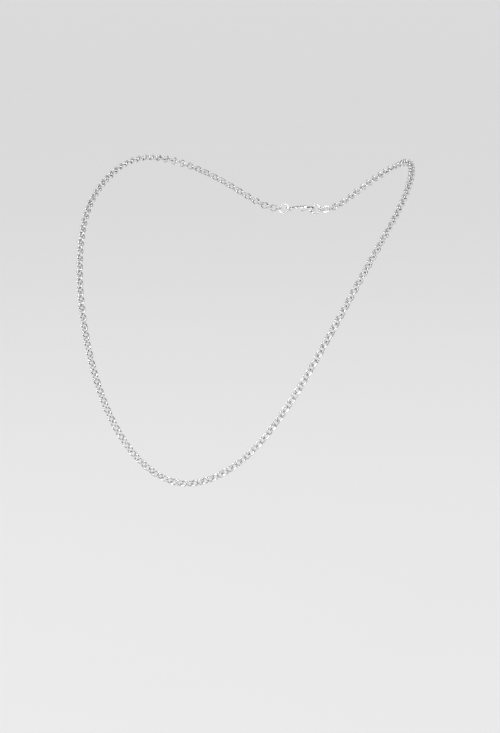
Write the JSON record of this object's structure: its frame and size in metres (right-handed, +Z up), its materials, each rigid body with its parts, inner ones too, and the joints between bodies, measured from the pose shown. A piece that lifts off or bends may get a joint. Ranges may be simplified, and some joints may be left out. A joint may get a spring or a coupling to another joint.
{
  "type": "chain necklace",
  "caption": "Plain chain necklace of round interlinked wire rings, closed at the nape by a lever clasp, in the shape it takes when worn.",
  "frame": {"origin": "middle of the nape, on the chain's line, at the centre between the clasp's two rings", "axes": "+Z up with the wearer upright, -Y towards the wearer's front, +X towards the wearer's left"},
  "size_m": [0.1236, 0.1503, 0.1103],
  "materials": {
    "chain_silver": "polished silver",
    "clasp_silver": "polished silver, slightly softer than the chain",
    "spring_steel": "drawn spring wire"
  },
  "bodies": {
    "nape": {"nape_run_1_left": "chain_silver", "nape_run_1_right": "chain_silver", "nape_run_2_left": "chain_silver", "nape_run_2_right": "chain_silver"},
    "lift_1": {"run_01_left": "chain_silver", "run_01_right": "chain_silver", "run_02_left": "chain_silver", "run_02_right": "chain_silver", "run_03_left": "chain_silver", "run_03_right": "chain_silver", "run_04_left": "chain_silver", "run_04_right": "chain_silver", "run_05_left": "chain_silver", "run_05_right": "chain_silver"},
    "lift_2": {"run_06_left": "chain_silver", "run_06_right": "chain_silver", "run_07_left": "chain_silver", "run_07_right": "chain_silver", "run_08_left": "chain_silver", "run_08_right": "chain_silver", "run_09_left": "chain_silver", "run_09_right": "chain_silver"},
    "lift_3": {"run_10_left": "chain_silver", "run_10_right": "chain_silver", "run_11_left": "chain_silver", "run_11_right": "chain_silver", "run_12_left": "chain_silver", "run_12_right": "chain_silver"},
    "lift_4": {"run_13_left": "chain_silver", "run_13_right": "chain_silver", "run_14_left": "chain_silver", "run_14_right": "chain_silver"},
    "lift_5": {"run_15_left": "chain_silver", "run_15_right": "chain_silver", "run_16_left": "chain_silver", "run_16_right": "chain_silver"},
    "lift_6": {"run_17_left": "chain_silver", "run_17_right": "chain_silver"},
    "bight": {"bight_run_1_left": "chain_silver", "bight_run_1_right": "chain_silver", "bight_run_2_left": "chain_silver", "bight_run_2_right": "chain_silver", "bight_run_centre": "chain_silver"},
    "jump_ring_body": {"jump_ring": "clasp_silver"},
    "end_ring_body": {"end_ring": "clasp_silver"},
    "clasp": {"clasp_body": "clasp_silver", "clasp_pin": "clasp_silver", "clasp_spring": "spring_steel"},
    "lever": {"clasp_lever": "clasp_silver"}
  },
  "joints": [
    {"name": "lift_1_hinge", "type": "hinge", "parent": "nape", "child": "lift_1", "pos_m": [0, -0.00531, 0.00739], "axis": [-1, 0, 0], "range_deg": [0, 25]},
    {"name": "lift_2_hinge", "type": "hinge", "parent": "lift_1", "child": "lift_2", "pos_m": [0, -0.04726, 0.01957], "axis": [-1, 0, 0], "range_deg": [0, 25]},
    {"name": "lift_3_hinge", "type": "hinge", "parent": "lift_2", "child": "lift_3", "pos_m": [0, -0.08897, -0.00003], "axis": [-1, 0, 0], "range_deg": [0, 25]},
    {"name": "lift_4_hinge", "type": "hinge", "parent": "lift_3", "child": "lift_4", "pos_m": [0, -0.11379, -0.02317], "axis": [-1, 0, 0], "range_deg": [0, 25]},
    {"name": "lift_5_hinge", "type": "hinge", "parent": "lift_4", "child": "lift_5", "pos_m": [0, -0.12636, -0.04127], "axis": [-1, 0, 0], "range_deg": [0, 25]},
    {"name": "lift_6_hinge", "type": "hinge", "parent": "lift_5", "child": "lift_6", "pos_m": [0, -0.13583, -0.06016], "axis": [-1, 0, 0], "range_deg": [0, 25]},
    {"name": "bight_hinge", "type": "hinge", "parent": "lift_6", "child": "bight", "pos_m": [0, -0.13942, -0.06932], "axis": [-1, 0, 0], "range_deg": [0, 25]},
    {"name": "jump_ring_swing", "type": "hinge", "parent": "nape", "child": "jump_ring_body", "pos_m": [-0.00658, 0, 0], "axis": [1, 0, 0], "range_deg": [-25, 0]},
    {"name": "end_ring_swing", "type": "hinge", "parent": "nape", "child": "end_ring_body", "pos_m": [0.00658, 0, 0], "axis": [1, 0, 0], "range_deg": [-25, 0]},
    {"name": "clasp_swing", "type": "hinge", "parent": "nape", "child": "clasp", "pos_m": [0.00081, 0, 0], "axis": [1, 0, 0], "range_deg": [-50, 0]},
    {"name": "lever_pivot", "type": "hinge", "parent": "clasp", "child": "lever", "pos_m": [-0.00018, 0.00092, -0.00039], "axis": [0, -0.3939, -0.9191], "range_deg": [0, 25], "stiffness_Nm_per_rad": 0.00002, "springref_deg": -2.86}
  ],
  "couplings": [
    {"joint": "jump_ring_swing", "follows": "clasp_swing", "ratio": 0.5},
    {"joint": "end_ring_swing", "follows": "clasp_swing", "ratio": 0.5}
  ]
}
